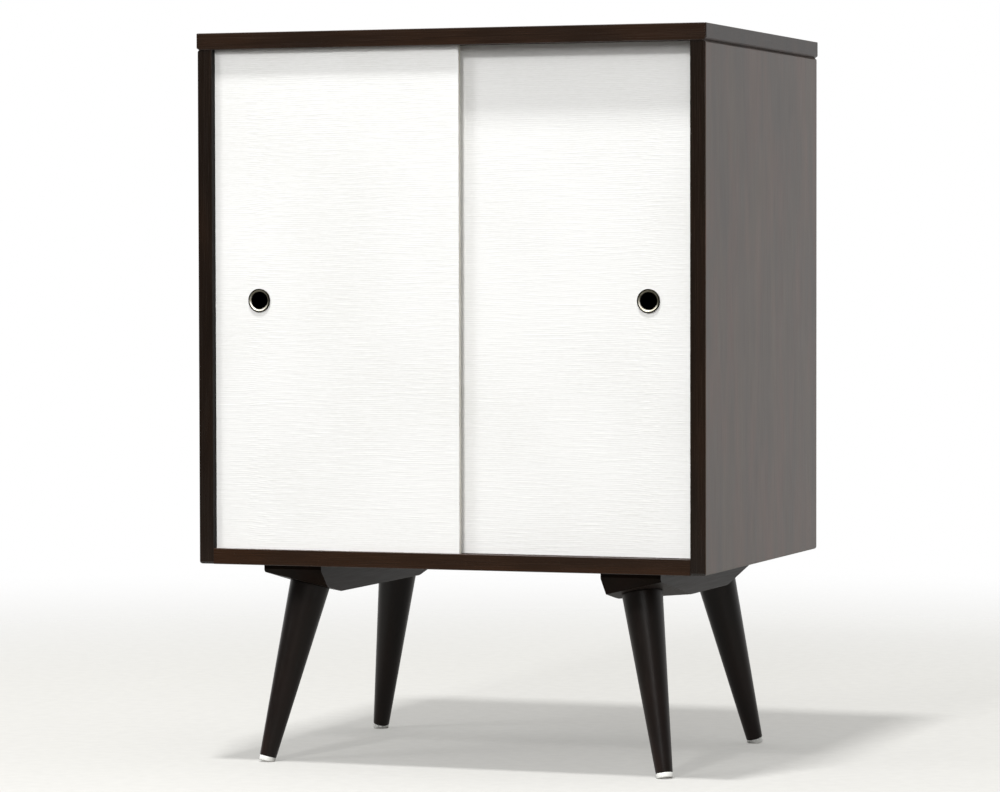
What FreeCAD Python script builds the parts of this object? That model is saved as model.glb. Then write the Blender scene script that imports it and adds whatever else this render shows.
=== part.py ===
"""Credenza: a small square cabinet with two sliding doors on four splayed, tapered legs.

Millimetres. The origin is on the floor under the middle of the cabinet, X points to the
viewer's right, the doors face -Y and Z points up. Every size is a cell of the sheet Sizes,
and every sub-part is bound to those cells by formulas.
"""
import FreeCAD, Part
import math
import os
import re
import Sketcher

SIZES = {
    # Case: the top slab lies over both sides, the bottom sits between them.
    "case_width": 610,
    "case_depth": 457,
    "case_height": 610,
    "case_lift": 232,
    "top_thickness": 19,
    "top_overhang": 1,
    "top_corner_radius": 2,
    "top_edge_radius": 1,
    "side_thickness": 18,
    "bottom_thickness": 18,
    "board_edge_radius": 1.8,
    "board_foot_radius": 3,
    "joint_edge_radius": 0.8,
    "joint_bevel": 2.5,
    # Back: hardboard let into the sides and over the rear edge of the bottom.
    "back_thickness": 4,
    "back_recess": 1,
    "back_rebate_width": 9,
    "back_clearance": 0.5,
    # Dowels that join the boards.
    "dowel_radius": 4,
    "dowel_chamfer": 0.8,
    "dowel_hole_clearance": 0.1,
    "dowel_end_clearance": 0.5,
    "dowel_short_depth": 11,
    "dowel_long_depth": 19,
    "dowel_end_inset": 55,
    # Sliding doors: two thin panels that pass each other in grooves.
    "door_core_thickness": 5,
    "door_facing_thickness": 1.5,
    "door_setback": 8,
    "door_gap": 7.5,
    "door_overlap": 24,
    "door_side_clearance": 0.5,
    "groove_clearance": 1,
    "groove_depth_above": 12,
    "groove_depth_below": 5,
    "door_rise_in_groove": 6,
    "door_seat_clearance": 0.2,
    # Finger pulls: metal eyelets through the doors.
    "pull_rim_radius": 13.4,
    "pull_hole_radius": 10,
    "pull_wall": 0.7,
    "pull_rim_height": 1.9,
    "pull_rim_round": 1.5,
    "pull_fit_clearance": 0.1,
    "pull_inset": 54.5,
    "pull_height": 303.5,
    "backing_radius": 13,
    "backing_thickness": 1,
    # Shelf on four pins, with rows of holes to move it to.
    "shelf_thickness": 16,
    "shelf_door_clearance": 7,
    "shelf_back_clearance": 3,
    "shelf_edge_radius": 3,
    "shelf_seat_clearance": 0.1,
    "shelf_side_clearance": 0.3,
    "pin_radius": 3,
    "pin_shank_length": 9.5,
    "pin_peg_length": 9,
    "pin_collar_radius": 4.5,
    "pin_collar_thickness": 1.2,
    "pin_chamfer": 0.6,
    "pin_hole_clearance": 0.08,
    "pin_hole_depth": 10,
    "pin_row_spacing": 28,
    "pin_front_inset": 32,
    "pin_rear_inset": 60,
    # Cleats: one block under each side, a little thinner outside, bevelled square to its legs.
    "cleat_width": 71,
    "cleat_thickness": 36.3,
    "cleat_outer_thickness": 33.6,
    "cleat_side_inset": 64.5,
    "cleat_end_inset": 37.5,
    "cleat_end_height": 7,
    "cleat_corner_radius": 2,
    "cleat_edge_radius": 1.2,
    # Legs: turned tapers that stand square on the bevels and splay both ways.
    "leg_splay_degrees": 10.8,
    "leg_seat_side_inset": 37.3,
    "leg_seat_end_inset": 49.8,
    "leg_seat_thickness": 27,
    "leg_top_radius": 23.4,
    "leg_foot_radius": 9.7,
    "leg_edge_radius": 0.8,
    "bolt_radius": 4,
    "bolt_fit_clearance": 0.1,
    "bolt_depth_in_leg": 38,
    "bolt_end_clearance": 2,
    "bolt_chamfer": 0.8,
    "bolt_hole_clearance": 0.5,
    "nut_flange_radius": 10,
    "nut_flange_thickness": 1.5,
    "nut_barrel_radius": 5.5,
    "nut_barrel_length": 10,
    "nut_recess_depth": 7,
    "nut_recess_clearance": 0.5,
    "nut_fit_clearance": 0.1,
    # Glides: plastic discs nailed under the feet, worn flat where they meet the floor.
    "glide_radius": 9.5,
    "glide_thickness": 6,
    "glide_edge_radius": 1.4,
    "glide_wear": 2.4,
    "glide_recess_radius": 3.2,
    "glide_recess_depth": 2.4,
    "nail_radius": 1.1,
    "nail_head_radius": 2.8,
    "nail_head_thickness": 0.9,
    "nail_depth_in_leg": 16,
    "nail_tip_length": 3,
    "nail_fit_clearance": 0.1,
    # Wood screws with countersunk slotted heads.
    "back_screw_radius": 1.5,
    "back_screw_head_radius": 3,
    "back_screw_length": 16,
    "back_screw_end_inset": 40,
    "cleat_screw_radius": 2.2,
    "cleat_screw_head_radius": 4.2,
    "cleat_screw_length": 36,
    "cleat_screw_grip": 24,
    "cleat_screw_reach": 64,
    "screw_tip_length": 3,
    "screw_fit_clearance": 0.1,
    "screw_slot_width": 0.8,
    "screw_slot_depth": 0.7,
    # How far a cutting shape runs past the face that it cuts.
    "overrun": 5,
}

# Counts, signs and shares, which are no lengths.
LEAST_CUT_SHARE = 1e-8
MATCH_SHARE = 1e-3
DOWELS_PER_EDGE = 4
PIN_ROWS = 5
SHELF_ROWS_ABOVE_MIDDLE = 1
BACK_SIDE_SCREWS = 4
BACK_BOTTOM_SCREWS = 3
CLEAT_SCREWS = 4
PINS_PER_SIDE = 2
SIDES = {"left": -1, "right": 1}
ENDS = {"front": -1, "rear": 1}

# Formulas of the sheet's names that several sub-parts share.
INNER_HALF_WIDTH = "(case_width / 2 - side_thickness)"
SIDE_HEIGHT = "(case_height - top_thickness)"
INNER_HEIGHT = "(case_height - top_thickness - bottom_thickness)"
BACK_DEPTH = "(back_thickness + back_recess)"
DOWEL_SPAN = "(case_depth - 2 * dowel_end_inset)"
DOWEL_HOLE_RADIUS = "(dowel_radius + dowel_hole_clearance)"
BACK_SCREW_BORE = "(back_screw_radius + screw_fit_clearance)"
CLEAT_SCREW_BORE = "(cleat_screw_radius + screw_fit_clearance)"
DOOR_THICKNESS = "(door_core_thickness + door_facing_thickness)"
DOOR_WIDTH = "(case_width / 2 - side_thickness + door_overlap / 2 - door_side_clearance)"
DOOR_HEIGHT = f"({INNER_HEIGHT} + groove_depth_below - door_seat_clearance + door_rise_in_groove)"
DOOR_FOOT = "(bottom_thickness - groove_depth_below + door_seat_clearance)"
DOOR_STEP = f"({DOOR_THICKNESS} + door_gap)"
GROOVE_START = "(door_setback - groove_clearance / 2)"
GROOVE_WIDTH = f"({DOOR_THICKNESS} + groove_clearance)"
PULL_BARREL_RADIUS = "(pull_hole_radius + pull_wall)"
PIN_SPAN = f"({PIN_ROWS - 1} * pin_row_spacing)"
PIN_FRONT = f"({GROOVE_START} + {DOOR_STEP} + {GROOVE_WIDTH} + pin_front_inset)"
PIN_REAR = f"(case_depth - {BACK_DEPTH} - pin_rear_inset)"
PIN_MIDDLE = f"(bottom_thickness + {INNER_HEIGHT} / 2)"
SHELF_PINS = f"({PIN_MIDDLE} + {SHELF_ROWS_ABOVE_MIDDLE} * pin_row_spacing)"
CLEAT_OUTER = "(case_width / 2 - cleat_side_inset)"
CLEAT_END = "(case_depth / 2 - cleat_end_inset)"
CLEAT_SCREW_X = f"({CLEAT_OUTER} - cleat_width / 2)"
CLEAT_SCREW_SPAN = "(2 * cleat_screw_reach)"
BACK_SCREW_X = f"({INNER_HALF_WIDTH} + back_rebate_width / 2)"
BACK_ROW_SPAN = f"(2 * {CLEAT_SCREW_X})"
BACK_SCREW_SPAN = f"({SIDE_HEIGHT} - 2 * back_screw_end_inset)"
# A leg leans alike along X and Y: how much its axis rises and how much it leans per unit of length.
AXIS_RISE = "(1 / sqrt(1 + 2 * tan(leg_splay_degrees)^2))"
AXIS_LEAN = f"(sqrt(2) * tan(leg_splay_degrees) * {AXIS_RISE})"
SEAT_HEIGHT = "(case_lift - leg_seat_thickness)"
LEG_LENGTH = f"(({SEAT_HEIGHT} + glide_wear - glide_radius * {AXIS_LEAN}) / {AXIS_RISE} - glide_thickness)"
NUT_SEAT = f"(leg_seat_thickness / {AXIS_RISE} - nut_recess_depth)"

document = FreeCAD.newDocument("Credenza")
sheet = document.addObject("Spreadsheet::Sheet", "Sizes")
for row, (name, amount) in enumerate(SIZES.items(), start=1):
    sheet.set(f"A{row}", name)
    sheet.set(f"B{row}", str(amount))
    sheet.setAlias(f"B{row}", name)
document.recompute()


def bound(formula):
    """The formula with every name of the sheet written as the sheet's cell."""
    return re.sub(r"[a-z_]+", lambda word: f"Sizes.{word[0]}" if word[0] in SIZES else word[0], formula)


def number(formula):
    """The value of a formula of the sheet's names."""
    return float(sheet.evalExpression(bound(formula)))


def new_body(label):
    """An empty body that carries the sub-part's name."""
    body = document.addObject("PartDesign::Body", label)
    body.Label = label
    return body


def origin_item(body, role):
    """A plane or an axis of the body's own origin."""
    return next(item for item in body.Origin.OriginFeatures if item.Role == role)


def place(body, x="0", y="0", z="0"):
    """Move a body's own origin to a point given by three formulas."""
    for axis, formula in zip("xyz", (x, y, z)):
        body.setExpression(f"Placement.Base.{axis}", bound(formula))


def new_sketch(body, role, shift=("0", "0", "0")):
    """A sketch on one of the body's planes, shifted along its own two axes and its normal."""
    sketch = body.newObject("Sketcher::SketchObject", f"{body.Label}_sketch")
    sketch.AttachmentSupport = [(origin_item(body, role), "")]
    sketch.MapMode = "FlatFace"
    for axis, formula in zip("xyz", shift):
        sketch.setExpression(f"AttachmentOffset.Base.{axis}", bound(formula))
    return sketch


def tie(sketch, kind, first, value, *second):
    """A dimension of the sketch that follows a formula."""
    constraint = Sketcher.Constraint(kind, *first, *second, number(value))
    index = sketch.addConstraint(constraint)
    sketch.setExpression(f"Constraints[{index}]", bound(value))


def tie_point(sketch, geometry, corner, x, y):
    """Hold a point of the sketch at two formulas, or on an axis where one is zero."""
    origin = (-1, 1)
    for kind, axis, value in (("DistanceX", -2, x), ("DistanceY", -1, y)):
        if value == "0":
            sketch.addConstraint(Sketcher.Constraint("PointOnObject", geometry, corner, axis))
        else:
            tie(sketch, kind, origin, value, geometry, corner)


def add_outline(sketch, points):
    """A closed outline of straight lines through points given as pairs of formulas."""
    places = [FreeCAD.Vector(number(x), number(y), 0) for x, y in points]
    first = sketch.GeometryCount
    count = len(points)
    for index in range(count):
        sketch.addGeometry(Part.LineSegment(places[index], places[(index + 1) % count]), False)
    for index in range(count):
        following = first + (index + 1) % count
        sketch.addConstraint(Sketcher.Constraint("Coincident", first + index, 2, following, 1))
        tie_point(sketch, first + index, 1, *points[index])


def add_rectangle(sketch, left, low, right, high):
    """A rectangle between two corners."""
    add_outline(sketch, [(left, low), (right, low), (right, high), (left, high)])


def add_circle(sketch, x, y, radius):
    """A circle with its centre and radius tied to formulas."""
    circle = Part.Circle(FreeCAD.Vector(number(x), number(y), 0), FreeCAD.Vector(0, 0, 1), number(radius))
    index = sketch.addGeometry(circle, False)
    tie_point(sketch, index, 3, x, y)
    tie(sketch, "Radius", (index,), radius)


def feature(body, kind, **settings):
    """Add a feature to the body and make it the body's tip."""
    item = body.newObject(f"PartDesign::{kind}", f"{body.Label}_{kind}")
    for name, value in settings.items():
        setattr(item, name, value)
    body.Tip = item
    return item


def pad(body, sketch, length, backwards=False):
    """Thicken a sketch along its normal, or against it."""
    item = feature(body, "Pad", Profile=sketch, Reversed=backwards)
    item.setExpression("Length", bound(length))
    document.recompute()


def cut(body, sketch, depth, backwards=False):
    """Pocket a sketch against its normal, or along it, and make sure that wood went."""
    before = body.Shape.Volume
    item = feature(body, "Pocket", Profile=sketch, Reversed=backwards)
    item.setExpression("Length", bound(depth))
    document.recompute()
    if before - body.Shape.Volume < before * LEAST_CUT_SHARE:
        raise RuntimeError(f"A pocket of {body.Label} cuts nothing")
    return item


def turn(body, sketch, axis="V_Axis"):
    """Turn a profile once round an axis of its sketch."""
    item = feature(body, "Revolution", Profile=sketch, ReferenceAxis=(sketch, [axis]))
    document.recompute()
    return item


def repeat(body, items, axis, span, count):
    """Repeat features at equal steps over a span."""
    pattern = feature(body, "LinearPattern", Originals=items, Occurrences=count)
    pattern.Direction = (origin_item(body, axis), [""])
    pattern.setExpression("Length", bound(span))
    document.recompute()


def mirror(body, role):
    """Add the mirror image of all of the body so far."""
    item = feature(body, "Mirrored", Originals=[body.Tip], TransformMode="Whole shape")
    item.MirrorPlane = (origin_item(body, role), [""])
    document.recompute()


def round_edges(body, radius, test):
    """Fillet the edges of the body, in its own frame, whose ends pass a test."""
    names = []
    for index, edge in enumerate(body.Tip.Shape.Edges, start=1):
        if test([vertex.Point for vertex in edge.Vertexes]):
            names.append(f"Edge{index}")
    item = feature(body, "Fillet", Base=(body.Tip, names))
    item.setExpression("Radius", bound(radius))
    document.recompute()


def near(first, second):
    """True where two lengths agree to a small share of a board's edge radius."""
    return abs(first - second) < number("board_edge_radius") * MATCH_SHARE


def all_at(ends, axis, value):
    """True where every end of an edge has this coordinate."""
    return all(near(getattr(point, axis), value) for point in ends)


def on_rim(point, radius):
    """True where a point is this far from the body's Z axis."""
    return near(math.hypot(point.x, point.y), radius)


def is_level(ends):
    """True where an edge runs level."""
    return near(ends[0].z, ends[-1].z)


def is_plumb(ends):
    """True where an edge runs straight up."""
    return all(near(getattr(ends[0], axis), getattr(ends[-1], axis)) for axis in "xy")


def make_top_panel():
    """Slab over the sides, bevelled where it meets them, with door grooves and dowel holes below."""
    body = new_body("top_panel")
    place(body, "0", "0", f"case_lift + {SIDE_HEIGHT}")
    half_width = "(case_width / 2 + top_overhang)"
    half_depth = "(case_depth / 2 + top_overhang)"
    plan = new_sketch(body, "XY_Plane")
    add_rectangle(plan, f"-{half_width}", f"-{half_depth}", half_width, half_depth)
    pad(body, plan, "top_thickness")
    round_edges(body, "top_corner_radius", lambda ends: not is_level(ends))
    round_edges(body, "top_edge_radius", is_level)
    for sign in SIDES.values():
        joint = new_sketch(body, "XZ_Plane", ("0", "0", f"({half_depth} + overrun)"))
        start = f"{sign} * (case_width / 2 - joint_bevel)"
        beyond = f"{sign} * ({half_width} + overrun)"
        slope = [(start, "0"), (f"{sign} * {half_width}", "joint_bevel"), (beyond, "joint_bevel")]
        add_outline(joint, slope + [(beyond, "-overrun"), (start, "-overrun")])
        cut(body, joint, f"(2 * {half_depth} + 2 * overrun)")
    for track in ("0", DOOR_STEP):
        start = f"({GROOVE_START} + {track} - case_depth / 2)"
        groove = new_sketch(body, "XY_Plane")
        add_rectangle(groove, f"-{INNER_HALF_WIDTH}", start, INNER_HALF_WIDTH, f"({start} + {GROOVE_WIDTH})")
        cut(body, groove, "groove_depth_above", backwards=True)
    holes = new_sketch(body, "XY_Plane")
    for sign in SIDES.values():
        x = f"{sign} * ({INNER_HALF_WIDTH} + side_thickness / 2)"
        add_circle(holes, x, "(dowel_end_inset - case_depth / 2)", DOWEL_HOLE_RADIUS)
    bores = cut(body, holes, "dowel_short_depth", backwards=True)
    repeat(body, [bores], "Y_Axis", DOWEL_SPAN, DOWELS_PER_EDGE)


def make_side_panel(side):
    """Upright board, bevelled under the slab, with a rebate, two columns of pin holes and dowel holes."""
    sign = SIDES[side]
    body = new_body(f"{side}_side_panel")
    place(body, f"{sign} * {INNER_HALF_WIDTH}", "-case_depth / 2", "case_lift")
    outer = f"{sign} * side_thickness"
    rebate = f"{sign} * back_rebate_width"
    shoulder = f"(case_depth - {BACK_DEPTH})"
    plan = new_sketch(body, "XY_Plane")
    corners = [("0", "0"), (outer, "0"), (outer, "case_depth"), (rebate, "case_depth"), (rebate, shoulder)]
    add_outline(plan, corners + [("0", shoulder)])
    pad(body, plan, SIDE_HEIGHT)
    face = number(outer)
    round_edges(body, "board_edge_radius", lambda ends: all_at(ends, "x", face) and is_plumb(ends))
    round_edges(body, "board_foot_radius", lambda ends: all_at(ends, "x", face) and all_at(ends, "z", 0))
    round_edges(body, "joint_edge_radius", lambda ends: all_at(ends, "x", 0) and all_at(ends, "y", 0))
    joint = new_sketch(body, "XZ_Plane", ("0", "0", "overrun"))
    start = f"{sign} * (side_thickness - joint_bevel)"
    beyond = f"{sign} * (side_thickness + overrun)"
    above = f"({SIDE_HEIGHT} + overrun)"
    slope = [(beyond, f"({SIDE_HEIGHT} - joint_bevel)"), (outer, f"({SIDE_HEIGHT} - joint_bevel)")]
    add_outline(joint, slope + [(start, SIDE_HEIGHT), (start, above), (beyond, above)])
    cut(body, joint, "(case_depth + 2 * overrun)")
    pins = new_sketch(body, "YZ_Plane")
    first_row = f"({PIN_MIDDLE} - {PIN_SPAN} / 2)"
    for y in (PIN_FRONT, PIN_REAR):
        add_circle(pins, y, first_row, "(pin_radius + pin_hole_clearance)")
    bores = cut(body, pins, "pin_hole_depth", sign > 0)
    repeat(body, [bores], "Z_Axis", PIN_SPAN, PIN_ROWS)
    low = new_sketch(body, "YZ_Plane")
    add_circle(low, "dowel_end_inset", "bottom_thickness / 2", DOWEL_HOLE_RADIUS)
    bores = cut(body, low, "dowel_short_depth", sign > 0)
    repeat(body, [bores], "Y_Axis", DOWEL_SPAN, DOWELS_PER_EDGE)
    high = new_sketch(body, "XY_Plane", ("0", "0", SIDE_HEIGHT))
    add_circle(high, f"{sign} * side_thickness / 2", "dowel_end_inset", DOWEL_HOLE_RADIUS)
    bores = cut(body, high, "dowel_long_depth")
    repeat(body, [bores], "Y_Axis", DOWEL_SPAN, DOWELS_PER_EDGE)
    screws = new_sketch(body, "XZ_Plane", ("0", "0", f"-{shoulder}"))
    add_circle(screws, f"{sign} * back_rebate_width / 2", "back_screw_end_inset", BACK_SCREW_BORE)
    bores = cut(body, screws, "back_screw_length", backwards=True)
    repeat(body, [bores], "Z_Axis", BACK_SCREW_SPAN, BACK_SIDE_SCREWS)


def make_bottom_panel():
    """Board between the sides, with the two lower door grooves and holes for its fixings."""
    body = new_body("bottom_panel")
    place(body, "0", "-case_depth / 2", "case_lift")
    depth = f"(case_depth - {BACK_DEPTH})"
    plan = new_sketch(body, "XY_Plane")
    add_rectangle(plan, f"-{INNER_HALF_WIDTH}", "0", INNER_HALF_WIDTH, depth)
    pad(body, plan, "bottom_thickness")
    round_edges(body, "joint_edge_radius", lambda ends: all_at(ends, "y", 0) and is_level(ends))
    for track in ("0", DOOR_STEP):
        start = f"({GROOVE_START} + {track})"
        groove = new_sketch(body, "XY_Plane", ("0", "0", "bottom_thickness"))
        add_rectangle(groove, f"-{INNER_HALF_WIDTH}", start, INNER_HALF_WIDTH, f"({start} + {GROOVE_WIDTH})")
        cut(body, groove, "groove_depth_below")
    for sign in SIDES.values():
        ends = new_sketch(body, "YZ_Plane", ("0", "0", f"{sign} * {INNER_HALF_WIDTH}"))
        add_circle(ends, "dowel_end_inset", "bottom_thickness / 2", DOWEL_HOLE_RADIUS)
        bores = cut(body, ends, "dowel_long_depth", sign < 0)
        repeat(body, [bores], "Y_Axis", DOWEL_SPAN, DOWELS_PER_EDGE)
    pilots = new_sketch(body, "XY_Plane")
    for sign in SIDES.values():
        x = f"{sign} * {CLEAT_SCREW_X}"
        add_circle(pilots, x, "(case_depth / 2 - cleat_screw_reach)", CLEAT_SCREW_BORE)
    depth_above = "(cleat_screw_length - cleat_screw_grip + screw_fit_clearance)"
    bores = cut(body, pilots, depth_above, backwards=True)
    repeat(body, [bores], "Y_Axis", CLEAT_SCREW_SPAN, CLEAT_SCREWS)
    screws = new_sketch(body, "XZ_Plane", ("0", "0", f"-{depth}"))
    add_circle(screws, f"-{CLEAT_SCREW_X}", "bottom_thickness / 2", BACK_SCREW_BORE)
    bores = cut(body, screws, "back_screw_length", backwards=True)
    repeat(body, [bores], "X_Axis", BACK_ROW_SPAN, BACK_BOTTOM_SCREWS)


def make_back_panel():
    """Hardboard sheet in the rebates, with countersunk holes along three edges."""
    body = new_body("back_panel")
    place(body, "0", f"case_depth / 2 - {BACK_DEPTH} + back_thickness", "case_lift")
    half_width = f"({INNER_HALF_WIDTH} + back_rebate_width - back_clearance)"
    face = new_sketch(body, "XZ_Plane")
    add_rectangle(face, f"-{half_width}", "back_clearance", half_width, f"({SIDE_HEIGHT} - back_clearance)")
    pad(body, face, "back_thickness")
    columns = new_sketch(body, "XZ_Plane")
    for sign in SIDES.values():
        add_circle(columns, f"{sign} * {BACK_SCREW_X}", "back_screw_end_inset", BACK_SCREW_BORE)
    bores = cut(body, columns, "back_thickness", backwards=True)
    repeat(body, [bores], "Z_Axis", BACK_SCREW_SPAN, BACK_SIDE_SCREWS)
    row = new_sketch(body, "XZ_Plane")
    add_circle(row, f"-{CLEAT_SCREW_X}", "bottom_thickness / 2", BACK_SCREW_BORE)
    bores = cut(body, row, "back_thickness", backwards=True)
    repeat(body, [bores], "X_Axis", BACK_ROW_SPAN, BACK_BOTTOM_SCREWS)
    rims = [
        f"Edge{index}"
        for index, edge in enumerate(body.Tip.Shape.Edges, start=1)
        if len(edge.Vertexes) == 1 and near(edge.Vertexes[0].Y, 0)
    ]
    sinks = feature(body, "Chamfer", Base=(body.Tip, rims))
    sinks.setExpression("Size", bound("(back_screw_head_radius - back_screw_radius)"))
    document.recompute()


def dowel_section(low, high):
    """Half of a dowel's section, as pairs of a place along its axis and a radius."""
    waist = "(dowel_radius - dowel_chamfer)"
    shoulders = (f"({low} + dowel_chamfer)", f"({high} - dowel_chamfer)")
    points = [(low, "0"), (low, waist), (shoulders[0], "dowel_radius")]
    return points + [(shoulders[1], "dowel_radius"), (high, waist), (high, "0")]


def make_bottom_dowels():
    """Dowels from the ends of the bottom into both sides."""
    body = new_body("bottom_dowels")
    place(body, "0", "-case_depth / 2", "case_lift")
    shift = (f"-{INNER_HALF_WIDTH}", "bottom_thickness / 2", "-dowel_end_inset")
    section = new_sketch(body, "XZ_Plane", shift)
    low = "(dowel_end_clearance - dowel_short_depth)"
    add_outline(section, dowel_section(low, "(dowel_long_depth - dowel_end_clearance)"))
    dowel = turn(body, section, "H_Axis")
    repeat(body, [dowel], "Y_Axis", DOWEL_SPAN, DOWELS_PER_EDGE)
    mirror(body, "YZ_Plane")


def make_top_dowels():
    """Dowels from the tops of both sides into the slab."""
    body = new_body("top_dowels")
    place(body, "0", "-case_depth / 2", f"case_lift + {SIDE_HEIGHT}")
    shift = (f"({INNER_HALF_WIDTH} + side_thickness / 2)", "0", "-dowel_end_inset")
    section = new_sketch(body, "XZ_Plane", shift)
    low = "(dowel_end_clearance - dowel_long_depth)"
    points = dowel_section(low, "(dowel_short_depth - dowel_end_clearance)")
    add_outline(section, [(radius, along) for along, radius in points])
    dowel = turn(body, section)
    repeat(body, [dowel], "Y_Axis", DOWEL_SPAN, DOWELS_PER_EDGE)
    mirror(body, "YZ_Plane")


def screw_section(name):
    """Half of a countersunk screw's section, as pairs of a depth below its head and a radius."""
    radius = f"{name}_radius"
    head = f"{name}_head_radius"
    points = [("0", "0"), ("0", head), (f"({head} - {radius})", radius)]
    return points + [(f"({name}_length - screw_tip_length)", radius), (f"{name}_length", "0")]


def cut_slot(body, sketch, name, x, y):
    """Cut a slot across a screw's head, whose middle is at a point of the sketch."""
    reach = f"({name}_head_radius + overrun)"
    half = "(screw_slot_width / 2)"
    add_rectangle(sketch, f"({x} - {reach})", f"({y} - {half})", f"({x} + {reach})", f"({y} + {half})")
    return cut(body, sketch, "screw_slot_depth", backwards=True)


def make_back_screws(label, x, z, axis, span, count):
    """A row of screws through the back, into a side's rebate or the bottom's rear edge."""
    body = new_body(label)
    place(body, "0", f"case_depth / 2 - {BACK_DEPTH} + back_thickness", "case_lift")
    section = new_sketch(body, "YZ_Plane", ("0", z, x))
    points = [("0" if depth == "0" else f"-{depth}", radius) for depth, radius in screw_section("back_screw")]
    add_outline(section, points)
    shank = turn(body, section, "H_Axis")
    slot = cut_slot(body, new_sketch(body, "XZ_Plane"), "back_screw", x, z)
    repeat(body, [shank, slot], axis, span, count)
    return body


def make_cleat_screws():
    """Screws up through both cleats into the bottom, heads sunk in the cleats."""
    body = new_body("cleat_screws")
    place(body, "0", "0", "case_lift")
    section = new_sketch(body, "XZ_Plane", (CLEAT_SCREW_X, "-cleat_screw_grip", "cleat_screw_reach"))
    add_outline(section, [(radius, depth) for depth, radius in screw_section("cleat_screw")])
    shank = turn(body, section)
    face = new_sketch(body, "XY_Plane", ("0", "0", "-cleat_screw_grip"))
    slot = cut_slot(body, face, "cleat_screw", CLEAT_SCREW_X, "(-cleat_screw_reach)")
    repeat(body, [shank, slot], "Y_Axis", CLEAT_SCREW_SPAN, CLEAT_SCREWS)
    mirror(body, "YZ_Plane")


def make_shelf():
    """Loose shelf on the pins, behind the doors, with a rounded front edge."""
    body = new_body("adjustable_shelf")
    front = f"({GROOVE_START} + {DOOR_STEP} + {GROOVE_WIDTH} + shelf_door_clearance)"
    height = f"case_lift + {SHELF_PINS} + pin_radius + shelf_seat_clearance"
    place(body, "0", f"{front} - case_depth / 2", height)
    half_width = f"({INNER_HALF_WIDTH} - pin_collar_thickness - shelf_side_clearance)"
    depth = f"(case_depth - {BACK_DEPTH} - shelf_back_clearance - {front})"
    plan = new_sketch(body, "XY_Plane")
    add_rectangle(plan, f"-{half_width}", "0", half_width, depth)
    pad(body, plan, "shelf_thickness")
    round_edges(body, "shelf_edge_radius", lambda ends: all_at(ends, "y", 0) and is_level(ends))


def make_shelf_pins():
    """Four pins: a shank in the side, a collar against it and a peg under the shelf."""
    body = new_body("shelf_pins")
    place(body, "0", "-case_depth / 2", f"case_lift + {SHELF_PINS}")
    profile = new_sketch(body, "XZ_Plane", (f"-{INNER_HALF_WIDTH}", "0", f"-{PIN_FRONT}"))
    tip = "(pin_collar_thickness + pin_peg_length)"
    waist = "(pin_radius - pin_chamfer)"
    points = [("-pin_shank_length", "0"), ("-pin_shank_length", waist)]
    points += [("(pin_chamfer - pin_shank_length)", "pin_radius"), ("0", "pin_radius")]
    points += [("0", "pin_collar_radius"), ("pin_collar_thickness", "pin_collar_radius")]
    points += [("pin_collar_thickness", "pin_radius"), (f"({tip} - pin_chamfer)", "pin_radius")]
    add_outline(profile, points + [(tip, waist), (tip, "0")])
    pin = turn(body, profile, "H_Axis")
    repeat(body, [pin], "Y_Axis", f"({PIN_REAR} - {PIN_FRONT})", PINS_PER_SIDE)
    mirror(body, "YZ_Plane")


def make_door(track, sign, steps):
    """Core board, textured facing and eyelet pull of one sliding door."""
    left = "(door_side_clearance - case_width / 2 + side_thickness)"
    if sign > 0:
        left = f"({INNER_HALF_WIDTH} - door_side_clearance - {DOOR_WIDTH})"
    face = f"(door_setback + {steps} * {DOOR_STEP} - case_depth / 2)"
    pull_x = "pull_inset" if sign < 0 else f"({DOOR_WIDTH} - pull_inset)"
    pull_z = f"(pull_height - {DOOR_FOOT})"
    hole = f"({PULL_BARREL_RADIUS} + pull_fit_clearance)"
    layers = {
        f"{track}_door_facing": ("0", "door_facing_thickness"),
        f"{track}_door_panel": ("door_facing_thickness", "door_core_thickness"),
    }
    for label, (start, thickness) in layers.items():
        body = new_body(label)
        place(body, left, f"({face} + {start})", f"case_lift + {DOOR_FOOT}")
        sheet_face = new_sketch(body, "XZ_Plane")
        add_rectangle(sheet_face, "0", "0", DOOR_WIDTH, DOOR_HEIGHT)
        add_circle(sheet_face, pull_x, pull_z, hole)
        pad(body, sheet_face, thickness, backwards=True)
    centre = (f"({left} + {pull_x})", face, "case_lift + pull_height")
    eyelet = new_body(f"{track}_door_pull")
    place(eyelet, *centre)
    end = f"({DOOR_THICKNESS} + backing_thickness)"
    profile = new_sketch(eyelet, "XY_Plane")
    points = [("pull_hole_radius", end), (PULL_BARREL_RADIUS, end), (PULL_BARREL_RADIUS, "0")]
    points += [("pull_rim_radius", "0"), ("pull_rim_radius", "-pull_rim_height")]
    add_outline(profile, points + [("pull_hole_radius", "-pull_rim_height")])
    turn(eyelet, profile)
    rim = number("-pull_rim_height")
    round_edges(eyelet, "pull_rim_round", lambda ends: all_at(ends, "y", rim))
    backing = new_body(f"{track}_door_pull_backing")
    place(backing, *centre)
    ring = new_sketch(backing, "XZ_Plane", ("0", "0", f"-{DOOR_THICKNESS}"))
    add_circle(ring, "0", "0", "backing_radius")
    add_circle(ring, "0", "0", hole)
    pad(backing, ring, "backing_thickness", backwards=True)


def leg_frame(x_sign, y_sign):
    """Where a leg's axis meets its seat on the cleat, turned so that local Z runs up the leg."""
    slope = math.tan(math.radians(number("leg_splay_degrees")))
    x = x_sign * number(f"({CLEAT_OUTER} - leg_seat_side_inset)")
    y = y_sign * number(f"({CLEAT_END} - leg_seat_end_inset)")
    seat = FreeCAD.Vector(x, y, number(SEAT_HEIGHT))
    up = FreeCAD.Vector(-x_sign * slope, -y_sign * slope, 1)
    return FreeCAD.Placement(seat, FreeCAD.Rotation(FreeCAD.Vector(0, 0, 1), up))


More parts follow.
